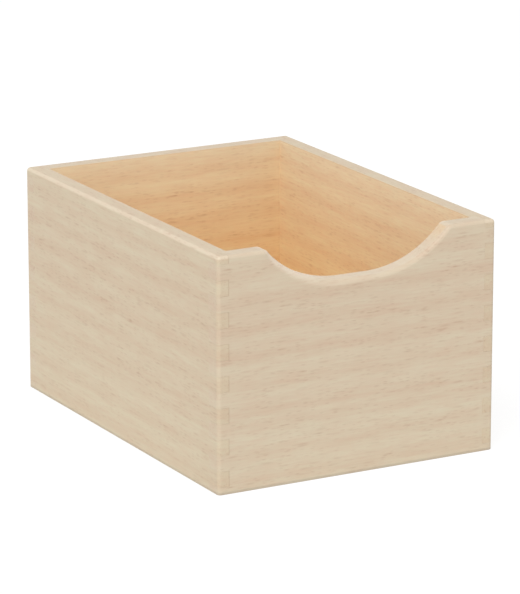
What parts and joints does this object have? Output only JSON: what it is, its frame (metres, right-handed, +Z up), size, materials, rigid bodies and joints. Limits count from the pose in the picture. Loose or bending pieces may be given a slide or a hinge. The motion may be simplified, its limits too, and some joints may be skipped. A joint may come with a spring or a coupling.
{
  "type": "picture book browser bin",
  "caption": "Open-topped wooden bin with a scooped front panel, finger-jointed corners and a grooved-in base, for picture books that stand with their covers forward.",
  "frame": {"origin": "centre of the underside, on the surface that the bin stands on", "axes": "+Z up, +X to the right seen from the front, +Y from the scooped front panel to the back panel"},
  "size_m": [0.312, 0.425, 0.239],
  "materials": {
    "beech_ends": "satin clear lacquer",
    "beech_sides": "satin clear lacquer",
    "base_plywood": "satin clear lacquer"
  },
  "bodies": {
    "root": {"front_panel": "beech_ends", "back_panel": "beech_ends", "left_side": "beech_sides", "right_side": "beech_sides", "base_panel": "base_plywood"}
  },
  "joints": []
}
